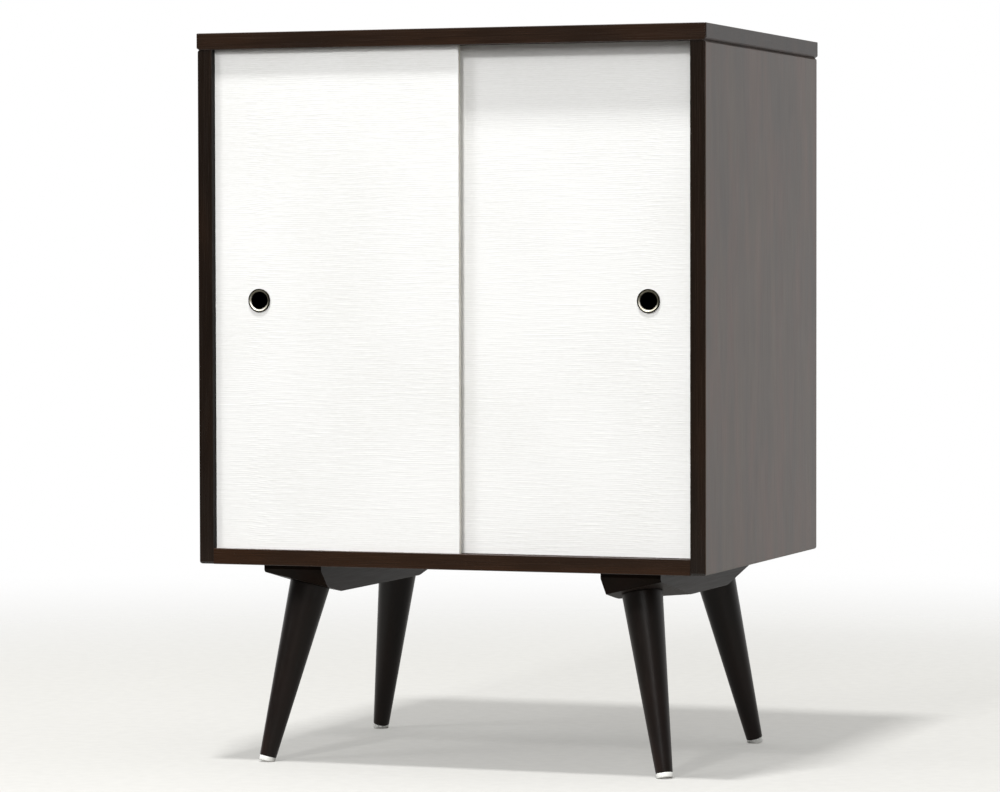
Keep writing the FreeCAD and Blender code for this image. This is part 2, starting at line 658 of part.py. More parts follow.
def make_cleat(side):
    """Block under one side: 45 degree end chamfers, then bevels square to both legs."""
    sign = SIDES[side]
    body = new_body(f"{side}_cleat")
    place(body, "0", "0", "case_lift")
    section = new_sketch(body, "XZ_Plane", ("0", "0", f"-{CLEAT_END}"))
    inner = f"{sign} * ({CLEAT_OUTER} - cleat_width)"
    outer = f"{sign} * {CLEAT_OUTER}"
    low_edge = [(outer, "-cleat_outer_thickness"), (inner, "-cleat_thickness")]
    add_outline(section, [(inner, "0"), (outer, "0")] + low_edge)
    pad(body, section, f"(2 * {CLEAT_END})")
    round_edges(body, "cleat_corner_radius", is_plumb)
    round_edges(body, "cleat_edge_radius", lambda ends: not any(near(end.z, 0) for end in ends))
    for end in ENDS.values():
        corner = new_sketch(body, "YZ_Plane", ("0", "0", f"{sign} * ({CLEAT_OUTER} + overrun)"))
        beyond = f"{end} * ({CLEAT_END} + overrun)"
        below = "-(cleat_thickness + overrun)"
        inside = f"{end} * ({CLEAT_END} - cleat_thickness - overrun + cleat_end_height)"
        add_outline(corner, [(beyond, "(overrun - cleat_end_height)"), (beyond, below), (inside, below)])
        cut(body, corner, "(cleat_width + 2 * overrun)", sign < 0)
    here = FreeCAD.Placement(FreeCAD.Vector(0, 0, number("case_lift")), FreeCAD.Rotation()).inverse()
    for end in ENDS.values():
        frame = here.multiply(leg_frame(sign, end))
        bevel = feature(body, "SubtractiveBox")
        for name in ("Length", "Width"):
            bevel.setExpression(name, bound("(case_depth + overrun)"))
        bevel.setExpression("Height", bound("(cleat_thickness + overrun)"))
        corner = number("-(case_depth + overrun) / 2")
        lowered = FreeCAD.Vector(corner, corner, number("-(cleat_thickness + overrun)"))
        bevel.Placement = frame.multiply(FreeCAD.Placement(lowered, FreeCAD.Rotation()))
        document.recompute()
    barrel_end = f"({NUT_SEAT} - nut_barrel_length - bolt_end_clearance)"
    bores = {
        "(bolt_radius + bolt_hole_clearance)": "-overrun",
        "(nut_barrel_radius + nut_fit_clearance)": barrel_end,
        "(nut_flange_radius + nut_recess_clearance)": NUT_SEAT,
    }
    for end in ENDS.values():
        frame = here.multiply(leg_frame(sign, end))
        for radius, start in bores.items():
            bore = feature(body, "SubtractiveCylinder")
            bore.setExpression("Radius", bound(radius))
            bore.setExpression("Height", bound("(cleat_thickness + 2 * overrun)"))
            lift = FreeCAD.Placement(FreeCAD.Vector(0, 0, number(start)), FreeCAD.Rotation())
            bore.Placement = frame.multiply(lift)
            document.recompute()
    for position in range(CLEAT_SCREWS):
        step = f"({CLEAT_SCREW_SPAN} * {position} / {CLEAT_SCREWS - 1} - cleat_screw_reach)"
        shank = new_sketch(body, "XY_Plane")
        add_circle(shank, f"{sign} * {CLEAT_SCREW_X}", step, CLEAT_SCREW_BORE)
        cut(body, shank, "cleat_thickness")
        well = new_sketch(body, "XY_Plane", ("0", "0", "-cleat_thickness"))
        add_circle(well, f"{sign} * {CLEAT_SCREW_X}", step, "(cleat_screw_head_radius + screw_fit_clearance)")
        depth = "(cleat_thickness - cleat_screw_grip + cleat_screw_head_radius - cleat_screw_radius)"
        cut(body, well, depth, backwards=True)


def turned_part(label, frame, points):
    """A body turned round its own Z axis from half of its section, and set in a leg's frame."""
    body = new_body(label)
    body.Placement = frame
    section = new_sketch(body, "XZ_Plane")
    add_outline(section, points)
    turn(body, section)
    return body


def make_leg(label, frame):
    """Tapered leg with a bore for its bolt above and one for the glide's nail below."""
    bore = "(bolt_radius + bolt_fit_clearance)"
    floor = "-(bolt_depth_in_leg + bolt_end_clearance)"
    nail = "(nail_radius + nail_fit_clearance)"
    ceiling = "(nail_depth_in_leg + nail_fit_clearance)"
    low = f"-{LEG_LENGTH}"
    points = [(bore, "0"), ("leg_top_radius", "0"), ("leg_foot_radius", low), (nail, low)]
    points += [(nail, f"({low} + {ceiling})"), ("0", f"({low} + {ceiling})"), ("0", floor), (bore, floor)]
    body = turned_part(f"{label}_leg", frame, points)
    rims = (number("leg_top_radius"), number("leg_foot_radius"))
    round_edges(
        body, "leg_edge_radius", lambda ends: len(ends) == 1 and any(on_rim(ends[0], rim) for rim in rims)
    )


def make_bolt(label, frame):
    """Headless bolt from the leg up through the nut in the cleat."""
    low = "-bolt_depth_in_leg"
    high = f"({NUT_SEAT} + nut_flange_thickness)"
    waist = "(bolt_radius - bolt_chamfer)"
    points = [("0", low), (waist, low), ("bolt_radius", f"({low} + bolt_chamfer)")]
    points += [("bolt_radius", f"({high} - bolt_chamfer)"), (waist, high), ("0", high)]
    turned_part(f"{label}_leg_bolt", frame, points)


def make_nut(label, frame):
    """Flanged nut let into the top of the cleat, with its barrel down the leg's axis."""
    bore = "(bolt_radius + nut_fit_clearance)"
    low = f"({NUT_SEAT} - nut_barrel_length)"
    high = f"({NUT_SEAT} + nut_flange_thickness)"
    points = [(bore, low), ("nut_barrel_radius", low), ("nut_barrel_radius", NUT_SEAT)]
    points += [("nut_flange_radius", NUT_SEAT), ("nut_flange_radius", high), (bore, high)]
    turned_part(f"{label}_leg_nut", frame, points)


def make_glide(label, frame):
    """Plastic disc under the foot with a sunk nail hole, cut off by the floor where it is worn."""
    top = f"-{LEG_LENGTH}"
    hole = "(nail_radius + nail_fit_clearance)"
    bottom = f"({top} - glide_thickness)"
    step = f"({bottom} + glide_recess_depth)"
    points = [(hole, top), ("glide_radius", top), ("glide_radius", bottom), ("glide_recess_radius", bottom)]
    points += [("glide_recess_radius", step), (hole, step)]
    body = turned_part(f"{label}_glide", frame, points)
    low = number(bottom)
    rim = number("glide_radius")
    round_edges(body, "glide_edge_radius", lambda ends: all_at(ends, "z", low) and on_rim(ends[0], rim))
    floor = feature(body, "SubtractiveBox")
    for name in ("Length", "Width", "Height"):
        floor.setExpression(name, bound("(4 * glide_radius)"))
    centre = frame.multVec(FreeCAD.Vector(0, 0, low))
    half = number("2 * glide_radius")
    corner = FreeCAD.Vector(centre.x - half, centre.y - half, -2 * half)
    floor.Placement = frame.inverse().multiply(FreeCAD.Placement(corner, FreeCAD.Rotation()))
    document.recompute()


def make_nail(label, frame):
    """Nail through the glide into the foot, its flat head at the bottom of the recess."""
    seat = f"(glide_recess_depth - glide_thickness - {LEG_LENGTH})"
    head = f"({seat} - nail_head_thickness)"
    point = f"(nail_depth_in_leg - {LEG_LENGTH})"
    points = [("0", head), ("nail_head_radius", head), ("nail_head_radius", seat), ("nail_radius", seat)]
    points += [("nail_radius", f"({point} - nail_tip_length)"), ("0", point)]
    turned_part(f"{label}_glide_nail", frame, points)


def make_corner(side, end):
    """Leg, bolt, nut, glide and nail of one corner, all on the leg's axis."""
    label = f"{end}_{side}"
    frame = leg_frame(SIDES[side], ENDS[end])
    make_leg(label, frame)
    make_bolt(label, frame)
    make_nut(label, frame)
    make_glide(label, frame)
    make_nail(label, frame)


def build_all():
    """Every sub-part, from the case outwards."""
    make_top_panel()
    for side in SIDES:
        make_side_panel(side)
    make_bottom_panel()
    make_back_panel()
    make_bottom_dowels()
    make_top_dowels()
    column = (BACK_SCREW_X, "back_screw_end_inset", "Z_Axis", BACK_SCREW_SPAN, BACK_SIDE_SCREWS)
    mirror(make_back_screws("back_side_screws", *column), "YZ_Plane")
    line = (f"-{CLEAT_SCREW_X}", "bottom_thickness / 2", "X_Axis", BACK_ROW_SPAN, BACK_BOTTOM_SCREWS)
    make_back_screws("back_bottom_screws", *line)
    make_shelf()
    make_shelf_pins()
    make_door("front", SIDES["left"], 0)
    make_door("rear", SIDES["right"], 1)
    for side in SIDES:
        make_cleat(side)
    make_cleat_screws()
    for side in SIDES:
        for end in ENDS:
            make_corner(side, end)


def check_all():
    """Stop if a feature failed or a sub-part is not whole."""
    for item in document.Objects:
        if {"Invalid", "Error"} & set(item.State):
            raise RuntimeError(f"{item.Label} has failed: {item.State}")
    for body in document.findObjects("PartDesign::Body"):
        if body.Shape.isNull() or not body.Shape.isValid():
            raise RuntimeError(f"{body.Label} has no valid shape")


def export_all():
    """Write each sub-part to a file of its own name."""
    os.makedirs("parts", exist_ok=True)
    for body in document.findObjects("PartDesign::Body"):
        body.Shape.exportStep(f"parts/{body.Label}.step")
        print(body.Label, "solids", len(body.Shape.Solids), "volume", round(body.Shape.Volume))


build_all()
document.recompute()
check_all()
export_all()
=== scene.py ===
import math

import bmesh
import bpy
import numpy as np
from mathutils import Matrix, Vector


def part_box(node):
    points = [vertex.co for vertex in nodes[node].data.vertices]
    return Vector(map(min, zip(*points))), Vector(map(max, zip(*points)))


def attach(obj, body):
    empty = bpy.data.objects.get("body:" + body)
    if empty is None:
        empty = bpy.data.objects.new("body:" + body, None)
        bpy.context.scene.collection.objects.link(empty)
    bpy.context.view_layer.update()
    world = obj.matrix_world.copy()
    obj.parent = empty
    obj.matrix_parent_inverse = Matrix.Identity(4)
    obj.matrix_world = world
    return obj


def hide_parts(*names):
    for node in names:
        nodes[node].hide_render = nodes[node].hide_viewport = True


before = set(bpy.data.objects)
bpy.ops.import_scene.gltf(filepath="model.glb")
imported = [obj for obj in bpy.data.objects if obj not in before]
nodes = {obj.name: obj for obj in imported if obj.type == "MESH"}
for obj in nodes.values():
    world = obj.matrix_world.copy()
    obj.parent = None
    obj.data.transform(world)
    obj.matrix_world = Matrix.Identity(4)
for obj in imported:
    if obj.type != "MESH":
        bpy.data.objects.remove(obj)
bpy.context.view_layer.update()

MM = 0.001

# Sizes of the cabinet in millimetres, as the frame has them.
DOOR_FACE_Y = -228.5
DOOR_PULL_X = 232.0
DOOR_PULL_Z = 535.5
LEG_SPLAY = math.radians(10.8)
LEG_SEAT = (203.2, 141.2, 205.0)
LEG_TOP_RADIUS = 23.4
LEG_FOOT_RADIUS = 9.7
BOLT_BORE = 4.1
BOLT_BORE_DEPTH = 40.0
NAIL_BORE = 1.2
NAIL_BORE_DEPTH = 16.1
GLIDE_RADIUS = 9.5
GLIDE_THICKNESS = 6.0
GLIDE_WEAR = 2.4
GLIDE_RECESS_RADIUS = 3.2
GLIDE_RECESS_DEPTH = 2.4
CORNERS = {
    "front_left": (-1, -1),
    "rear_left": (-1, 1),
    "front_right": (1, -1),
    "rear_right": (1, 1),
}

# Strength of the room round the cabinet: fill light from low and from high in front and from
# behind, and what a shiny surface mirrors in front.
FILL_LOW = 0.08
FILL_FRONT = 0.62
FILL_BACK = 0.8
SHINE_FRONT = 0.07

# The photograph's camera: place in metres, yaw, pitch and roll in degrees, lengths in pixels.
CAMERA_PLACE = (1.637, -4.576, 0.5844)
CAMERA_ANGLES = (19.89, -1.926, -0.118)
FOCAL_LENGTH = 4124.8
IMAGE_WIDTH = 1000.0

# Lamps: name, degrees to the left of the doors, degrees above them, size in metres, watts.
LAMP_DISTANCE = 6.0
LAMPS = (
    ("far_wall", -20.0, 17.5, 1.3, 53.0),
    ("side_window", 48.0, 27.5, 1.6, 82.0),
    ("window", 4.0, 34.0, 0.5, 107.0),
    ("ceiling", 4.0, 75.2, 0.55, 352.0),
)

# Stain tones, dark, middle and light: broad faces, front edges of the boards, legs and cleats.
SIDE_TONES = ("#32251A", "#403022", "#4E3D2D")
LEVEL_TONES = ("#1E120B", "#2C1B11", "#3B261A")
SLAB_EDGE_TONES = ("#180E07", "#23150B", "#311F12")
RAIL_TONES = ("#190C03", "#241203", "#331C09")
STILE_TONES = ("#110904", "#190F07", "#26180D")
LEG_TONES = ("#080402", "#0F0804", "#1A0F08")
CLEAT_TONES = ("#110C09", "#19130D", "#231A12")

# Redder colour of the patches where the stain took less: sides, level boards, legs and cleats.
SIDE_WARM = "#5F3A2A"
LEVEL_WARM = "#402318"
DARK_WARM = "#24130E"

# Settings that several nodes share.
COLOURS = {"data_type": "RGBA"}
SMOOTH = {"interpolation_type": "SMOOTHSTEP"}
LARGEST = {"operation": "MAXIMUM"}
PRODUCT = {"operation": "MULTIPLY"}
PRODUCT_AND_SUM = {"operation": "MULTIPLY_ADD"}
MAGNITUDE = {"operation": "ABSOLUTE"}
LENGTH = {"operation": "LENGTH"}
DIRECTION = {"operation": "NORMALIZE"}
DOT_PRODUCT = {"operation": "DOT_PRODUCT"}


def from_hex(code):
    """Linear colour of an sRGB hex value: each channel by the sRGB curve, alpha 1."""
    channels = [int(code[i : i + 2], 16) / 255 for i in (1, 3, 5)]
    return tuple(c / 12.92 if c <= 0.04045 else ((c + 0.055) / 1.055) ** 2.4 for c in channels) + (1.0,)


def every(size):
    """Scale of a pattern that repeats about every so many millimetres."""
    return 1 / (size * MM)


class Finish:
    """A material or world whose node tree is built one node at a time."""

    def __init__(self, owner):
        owner.use_nodes = True
        self.owner = owner
        self.tree = owner.node_tree
        self.tree.nodes.clear()

    def add(self, kind, settings=None, stops=(), **links):
        """One node: settings are its attributes, stops a ramp's places and colours, links its inputs."""
        node = self.tree.nodes.new(kind)
        for key, value in (settings or {}).items():
            setattr(node, key, value)
        for index, (place, code) in enumerate(stops):
            elements = node.color_ramp.elements
            element = elements[index] if index < 2 else elements.new(place)
            element.position = place
            element.color = from_hex(code)
        for key, value in links.items():
            socket = node.inputs[int(key[1:])] if key[1:].isdigit() else node.inputs[key.replace("_", " ")]
            if isinstance(value, bpy.types.NodeSocket):
                self.tree.links.new(value, socket)
            else:
                socket.default_value = value
        return node

    def finish(self, **settings):
        """The Principled surface that ends the tree."""
        shader = self.add("ShaderNodeBsdfPrincipled", **settings)
        self.add("ShaderNodeOutputMaterial", Surface=shader.outputs["BSDF"])
        return self.owner


def paint(thing, material):
    """Give a piece or a CAD node this one material."""
    thing.data.materials.clear()
    thing.data.materials.append(material)


def stained_maple(
    name,
    along,
    tones,
    warm=DARK_WARM,
    edges=None,
    broad=None,
    inner=0,
    offset=0.0,
    gloss=0.25,
    ior=1.42,
    raw_ends=False,
    attribute=None,
):
    """Maple under espresso stain and satin lacquer.

    The eye sees nearly black brown with a red undertone, slow figure and short fibres along the
    grain, redder patches where the stain took less, and a soft sheen that turns grey at a low
    angle. Edges take the stain darker than broad faces, and end grain, which drinks the lacquer,
    is duller. The inner face, named by the sign of its normal, has painted shade: it is mixed to
    near black brown, darker than the edges, and has no lacquer. Raw ends have soaked theirs up
    wholly and hardly shine.
    """
    kit = Finish(bpy.data.materials.new(name))
    if attribute:
        place = kit.add("ShaderNodeAttribute", {"attribute_name": attribute}).outputs["Vector"]
    else:
        place = kit.add("ShaderNodeTexCoord").outputs["Object"]
    moved = kit.add("ShaderNodeMapping", Vector=place, Location=(offset, offset * 0.7, offset * 1.3))

    # Figure 34 mm wide and 330 mm long, patches 40 by 170 mm and fibres 1.3 by 55 mm. Real fibres
    # are a tenth as wide, which is too fine to show, so they are drawn this coarse.
    noises = []
    grades = ((34.0, 330.0, 3.0, 0.5), (40.0, 170.0, 2.0, 0.3), (1.3, 55.0, 2.0, 0.0))
    for wide, long, detail, wave in grades:
        scales = [every(wide)] * 3
        scales["XYZ".index(along)] = every(long)
        stretched = kit.add("ShaderNodeMapping", Vector=moved.outputs["Vector"], Scale=scales)
        noise = kit.add(
            "ShaderNodeTexNoise",
            Vector=stretched.outputs["Vector"],
            Scale=1.0,
            Detail=detail,
            Roughness=0.55,
            Distortion=wave,
        )
        noises.append(noise.outputs["Fac"])
    figure, patch, fibre = noises
    cloud = kit.add("ShaderNodeTexNoise", Vector=moved.outputs["Vector"], Scale=every(140.0), Detail=2.0)
    grain = kit.add("ShaderNodeMix", i0=0.16, i2=figure, i3=fibre)
    mixed = kit.add("ShaderNodeMix", i0=0.3, i2=grain.outputs[0], i3=cloud.outputs["Fac"])
    places = (0.34, 0.5, 0.66)
    body = kit.add("ShaderNodeValToRGB", stops=list(zip(places, tones)), i0=mixed.outputs[0])
    redness = kit.add("ShaderNodeMapRange", Value=patch, From_Min=0.45, From_Max=0.75, To_Max=0.5)
    colour = kit.add(
        "ShaderNodeMix",
        COLOURS,
        i0=redness.outputs["Result"],
        i6=body.outputs["Color"],
        i7=from_hex(warm),
    ).outputs[2]
    rough = kit.add(
        "ShaderNodeMapRange",
        Value=fibre,
        From_Min=0.3,
        From_Max=0.7,
        To_Min=gloss - 0.03,
        To_Max=gloss + 0.04,
    ).outputs["Result"]
    if broad or raw_ends:
        normal = kit.add("ShaderNodeTexCoord").outputs["Normal"]
        sides = kit.add("ShaderNodeSeparateXYZ", Vector=normal).outputs
        end_grain = kit.add("ShaderNodeMath", MAGNITUDE, i0=sides[along]).outputs[0]
    if broad:
        dulled_ends = 0.2
        dulled_faces = 0.14
        bare_wood = 0.9
        open_pores = kit.add(
            "ShaderNodeMapRange", Value=end_grain, From_Min=0.5, From_Max=0.85, To_Max=dulled_ends
        )
        rough = kit.add("ShaderNodeMath", i0=rough, i1=open_pores.outputs["Result"]).outputs[0]
        outer = float(-inner)
        if inner:
            facing = kit.add("ShaderNodeMath", PRODUCT, i0=sides[broad], i1=outer)
        else:
            facing = kit.add("ShaderNodeMath", MAGNITUDE, i0=sides[broad])
        is_broad = kit.add("ShaderNodeMapRange", Value=facing.outputs[0], From_Min=0.5, From_Max=0.85)
        is_broad = is_broad.outputs["Result"]
        rough = kit.add("ShaderNodeMath", PRODUCT_AND_SUM, i0=is_broad, i1=dulled_faces, i2=rough)
        rough = rough.outputs[0]
        edge = kit.add("ShaderNodeValToRGB", stops=list(zip(places, edges)), i0=mixed.outputs[0])
        edge = edge.outputs["Color"]
        colour = kit.add("ShaderNodeMix", COLOURS, i0=is_broad, i6=edge, i7=colour).outputs[2]
        # Painted shade: the inner face is mixed to near black brown and made rough.
        if inner:
            dull = kit.add("ShaderNodeMapRange", Value=facing.outputs[0], From_Min=-0.5, From_Max=-0.85)
            dull = dull.outputs["Result"]
            rough = kit.add("ShaderNodeMix", i0=dull, i2=rough, i3=bare_wood).outputs[0]
            shade = from_hex("#110A06")
            colour = kit.add("ShaderNodeMix", COLOURS, i0=dull, i6=colour, i7=shade).outputs[2]
    full_shine = 0.5
    end_shine = 0.1
    shine = full_shine
    if raw_ends:
        shine = kit.add(
            "ShaderNodeMapRange",
            Value=end_grain,
            From_Min=0.15,
            From_Max=0.4,
            To_Min=full_shine,
            To_Max=end_shine,
        ).outputs["Result"]
    bump = kit.add("ShaderNodeBump", Strength=0.05, Distance=0.2 * MM, Height=fibre)
    return kit.finish(
        Base_Color=colour,
        Roughness=rough,
        IOR=ior,
        Specular_IOR_Level=shine,
        Normal=bump.outputs["Normal"],
    )


def painted_grass_cloth():
    """Grass cloth under several coats of white paint.

    The eye sees bright, almost neutral white with a dull sheen; the ribs are in the mesh, the
    paint's brush grain and a slow change of tone are here.
    """
    kit = Finish(bpy.data.materials.new("painted_grass_cloth"))
    place = kit.add("ShaderNodeTexCoord").outputs["Object"]
    slow = kit.add("ShaderNodeTexNoise", Vector=place, Scale=every(160.0), Detail=2.0)
    grain_place = kit.add("ShaderNodeMapping", Vector=place, Scale=(every(7.0), every(3.0), every(1.1)))
    grain = kit.add("ShaderNodeTexNoise", Vector=grain_place.outputs["Vector"], Scale=1.0, Detail=2.0)
    mixed = kit.add("ShaderNodeMix", i0=0.5, i2=slow.outputs["Fac"], i3=grain.outputs["Fac"])
    stops = [(0.32, "#EEEEEB"), (0.52, "#F4F4F2"), (0.7, "#F7F7F5")]
    colour = kit.add("ShaderNodeValToRGB", stops=stops, i0=mixed.outputs[0])
    bump = kit.add("ShaderNodeBump", Strength=0.1, Distance=0.2 * MM, Height=grain.outputs["Fac"])
    return kit.finish(
        Base_Color=colour.outputs["Color"], Roughness=0.55, IOR=1.46, Normal=bump.outputs["Normal"]
    )


def painted_hardboard():
    """Hardboard door core under white paint: smooth, a touch warmer than the cloth, and dull."""
    kit = Finish(bpy.data.materials.new("painted_hardboard"))
    place = kit.add("ShaderNodeTexCoord").outputs["Object"]
    cloud = kit.add("ShaderNodeTexNoise", Vector=place, Scale=every(25.0), Detail=4.0)
    stops = [(0.3, "#D9D5C8"), (0.6, "#E9E6DC")]
    colour = kit.add("ShaderNodeValToRGB", stops=stops, i0=cloud.outputs["Fac"])
    bump = kit.add("ShaderNodeBump", Strength=0.2, Distance=0.2 * MM, Height=cloud.outputs["Fac"])
    return kit.finish(
        Base_Color=colour.outputs["Color"], Roughness=0.6, IOR=1.46, Normal=bump.outputs["Normal"]
    )


def nickel_wear_and_shade(name, attribute=None):
    """Nickel plate over brass on a stamped eyelet.

    The eye sees a bright crescent low in the ring, where the bare slope mirrors the lamps. The
    upper slope has painted shade, mixed to grey olive in place of the dark room it would mirror;
    the bead round it from 11.8 mm outwards is darker still, partly tarnish and partly painted
    shade; the barrel inside has painted shade, near black; and fine scratches dull it all.
    """
    kit = Finish(bpy.data.materials.new(name))
    place = kit.add("ShaderNodeTexCoord").outputs["Object"]
    wear = kit.add("ShaderNodeTexNoise", Vector=place, Scale=every(4.0), Detail=3.0, Roughness=0.6)
    stops = [(0.35, "#B5AF9B"), (0.52, "#CDC9BB"), (0.7, "#DEDBD2")]
    colour = kit.add("ShaderNodeValToRGB", stops=stops, i0=wear.outputs["Fac"]).outputs["Color"]
    scratch = kit.add("ShaderNodeTexNoise", Vector=place, Scale=every(0.8), Detail=2.0)
    rough = kit.add("ShaderNodeMapRange", Value=scratch.outputs["Fac"], To_Min=0.36, To_Max=0.5)
    rough = rough.outputs["Result"]
    if attribute:
        local = kit.add("ShaderNodeAttribute", {"attribute_name": attribute}).outputs["Vector"]
        flat = kit.add("ShaderNodeVectorMath", PRODUCT, i0=local, i1=(1.0, 1.0, 0.0))
        radius = kit.add("ShaderNodeVectorMath", LENGTH, i0=flat.outputs["Vector"])
        outwards = kit.add("ShaderNodeVectorMath", DIRECTION, i0=flat.outputs["Vector"])
        upwards = kit.add(
            "ShaderNodeVectorMath",
            DOT_PRODUCT,
            i0=outwards.outputs["Vector"],
            i1=(0.35, -0.94, 0.0),
        )
        # Painted shade: the upper slope is mixed towards grey olive, in place of the dark room it would
        # mirror.
        upper_shade = kit.add(
            "ShaderNodeMapRange", Value=upwards.outputs["Value"], From_Min=-0.4, From_Max=0.1, To_Max=0.78
        )
        radius = radius.outputs["Value"]
        bead = kit.add("ShaderNodeMapRange", Value=radius, From_Min=11.8 * MM, From_Max=12.1 * MM)
        height = kit.add("ShaderNodeSeparateXYZ", Vector=local).outputs["Z"]
        barrel = kit.add("ShaderNodeMapRange", Value=height, From_Min=-0.3 * MM, From_Max=0.0)
        most = kit.add("ShaderNodeMath", LARGEST, i0=upper_shade.outputs[0], i1=bead.outputs[0])
        stops = [(0.35, "#2A271B"), (0.65, "#4C4835")]
        tarnish_and_shade = kit.add("ShaderNodeValToRGB", stops=stops, i0=wear.outputs["Fac"]).outputs["Color"]
        colour = kit.add("ShaderNodeMix", COLOURS, i0=most.outputs[0], i6=colour, i7=tarnish_and_shade).outputs[2]
        rough = kit.add("ShaderNodeMix", i0=most.outputs[0], i2=rough, i3=0.5).outputs[0]
        # The bead from 11.8 mm outwards is mixed darker still: partly tarnish, partly painted shade.
        dark_rim = from_hex("#25221A")
        colour = kit.add("ShaderNodeMix", COLOURS, i0=bead.outputs[0], i6=colour, i7=dark_rim).outputs[2]
        # Painted shade: the barrel inside is mixed to near black.
        grime_and_shade = from_hex("#0F0E0A")
        colour = kit.add("ShaderNodeMix", COLOURS, i0=barrel.outputs[0], i6=colour, i7=grime_and_shade).outputs[2]
    return kit.finish(Base_Color=colour, Metallic=1.0, Roughness=rough)


def moulded_nylon():
    """White moulded nylon glide: milky, half glossy, scuffed grey where it meets the floor."""
    kit = Finish(bpy.data.materials.new("moulded_nylon"))
    place = kit.add("ShaderNodeTexCoord").outputs["Object"]
    height = kit.add("ShaderNodeSeparateXYZ", Vector=place).outputs["Z"]
    grime_and_shade = kit.add("ShaderNodeTexNoise", Vector=place, Scale=every(2.5), Detail=3.0)
    low = kit.add("ShaderNodeMapRange", Value=height, From_Min=1.5 * MM, From_Max=0.0, To_Max=0.9)
    dirty = kit.add(
        "ShaderNodeMath", PRODUCT, i0=low.outputs["Result"], i1=grime_and_shade.outputs["Fac"]
    )
    stops = [(0.05, "#EDEDE8"), (0.5, "#B9B6AC")]
    colour = kit.add("ShaderNodeValToRGB", stops=stops, i0=dirty.outputs["Value"])
    bump = kit.add("ShaderNodeBump", Strength=0.1, Distance=0.2 * MM, Height=grime_and_shade.outputs["Fac"])
    return kit.finish(
        Base_Color=colour.outputs["Color"], Roughness=0.38, IOR=1.53, Normal=bump.outputs["Normal"]
    )


def brown_hardboard():
    """Pressed hardboard of the back: warm brown felt of fine fibres with darker specks."""
    kit = Finish(bpy.data.materials.new("pressed_hardboard"))
    place = kit.add("ShaderNodeTexCoord").outputs["Object"]
    fibre = kit.add("ShaderNodeTexNoise", Vector=place, Scale=every(2.2), Detail=4.0, Roughness=0.7)
    cloud = kit.add("ShaderNodeTexNoise", Vector=place, Scale=every(70.0), Detail=2.0)
    mixed = kit.add("ShaderNodeMix", i0=0.2, i2=fibre.outputs["Fac"], i3=cloud.outputs["Fac"])
    stops = [(0.35, "#523625"), (0.52, "#6A4A33"), (0.68, "#7C5B42")]
    colour = kit.add("ShaderNodeValToRGB", stops=stops, i0=mixed.outputs[0])
    bump = kit.add("ShaderNodeBump", Strength=0.3, Distance=0.3 * MM, Height=fibre.outputs["Fac"])
    return kit.finish(
        Base_Color=colour.outputs["Color"], Roughness=0.62, IOR=1.5, Normal=bump.outputs["Normal"]
    )


def zinc_plated_steel():
    """Zinc plated steel fastener: pale blue grey with a spangled, half dull sheen."""
    kit = Finish(bpy.data.materials.new("zinc_plated_steel"))
    place = kit.add("ShaderNodeTexCoord").outputs["Object"]
    spangle = kit.add("ShaderNodeTexVoronoi", Vector=place, Scale=every(1.5))
    stops = [(0.1, "#A9ABA8"), (0.7, "#C6C8C6")]
    colour = kit.add("ShaderNodeValToRGB", stops=stops, i0=spangle.outputs["Distance"])
    rough = kit.add("ShaderNodeMapRange", Value=spangle.outputs["Distance"], To_Min=0.28, To_Max=0.45)
    return kit.finish(Base_Color=colour.outputs["Color"], Metallic=1.0, Roughness=rough.outputs["Result"])


def turned_brass():
    """Turned brass shelf pin: warm yellow with fine rings left by the lathe."""
    kit = Finish(bpy.data.materials.new("turned_brass"))
    place = kit.add("ShaderNodeTexCoord").outputs["Object"]
    along = {"bands_direction": "X"}
    rings = kit.add("ShaderNodeTexWave", along, Vector=place, Scale=every(4.0), Distortion=0.4)
    stops = [(0.0, "#A8863F"), (1.0, "#CDAF68")]
    colour = kit.add("ShaderNodeValToRGB", stops=stops, i0=rings.outputs["Fac"])
    rough = kit.add("ShaderNodeMapRange", Value=rings.outputs["Fac"], To_Min=0.22, To_Max=0.34)
    return kit.finish(Base_Color=colour.outputs["Color"], Metallic=1.0, Roughness=rough.outputs["Result"])


def bare_beech():
    """Bare beech dowel: pale pinkish tan with short flecks along the grain."""
    kit = Finish(bpy.data.materials.new("bare_beech"))
    place = kit.add("ShaderNodeTexCoord").outputs["Object"]
    fleck_place = kit.add("ShaderNodeMapping", Vector=place, Scale=(every(6.0), every(0.8), every(0.8)))
    fleck = kit.add("ShaderNodeTexNoise", Vector=fleck_place.outputs["Vector"], Scale=1.0, Detail=3.0)
    stops = [(0.35, "#A67C54"), (0.6, "#CDA67B")]
    colour = kit.add("ShaderNodeValToRGB", stops=stops, i0=fleck.outputs["Fac"])
    bump = kit.add("ShaderNodeBump", Strength=0.2, Distance=0.2 * MM, Height=fleck.outputs["Fac"])
    return kit.finish(
        Base_Color=colour.outputs["Color"], Roughness=0.65, IOR=1.5, Normal=bump.outputs["Normal"]
    )


def mesh_piece(name, points, faces, sharp=40.0):
    """A piece from an array of points in metres and an array of faces, smooth below a crease angle."""
    mesh = bpy.data.meshes.new(name)
    mesh.from_pydata(points, [], faces)
    mesh.validate()
    mesh.shade_smooth()
    mesh.set_sharp_from_angle(angle=math.radians(sharp))
    piece = bpy.data.objects.new(name, mesh)
    bpy.context.scene.collection.objects.link(piece)
    return piece


def face_outwards(piece):
    """Turn every face of a closed piece outwards."""
    work = bmesh.new()
    work.from_mesh(piece.data)
    bmesh.ops.recalc_face_normals(work, faces=work.faces)
    work.to_mesh(piece.data)
    work.free()


def arc(centre, radius, start, end, steps=6):
    """Points of a circle: centre plus radius times (cos, sin) of angles from start to end in degrees."""
    angles = np.radians(np.linspace(start, end, steps))
    return np.stack([centre[0] + radius * np.cos(angles), centre[1] + radius * np.sin(angles)], axis=1)


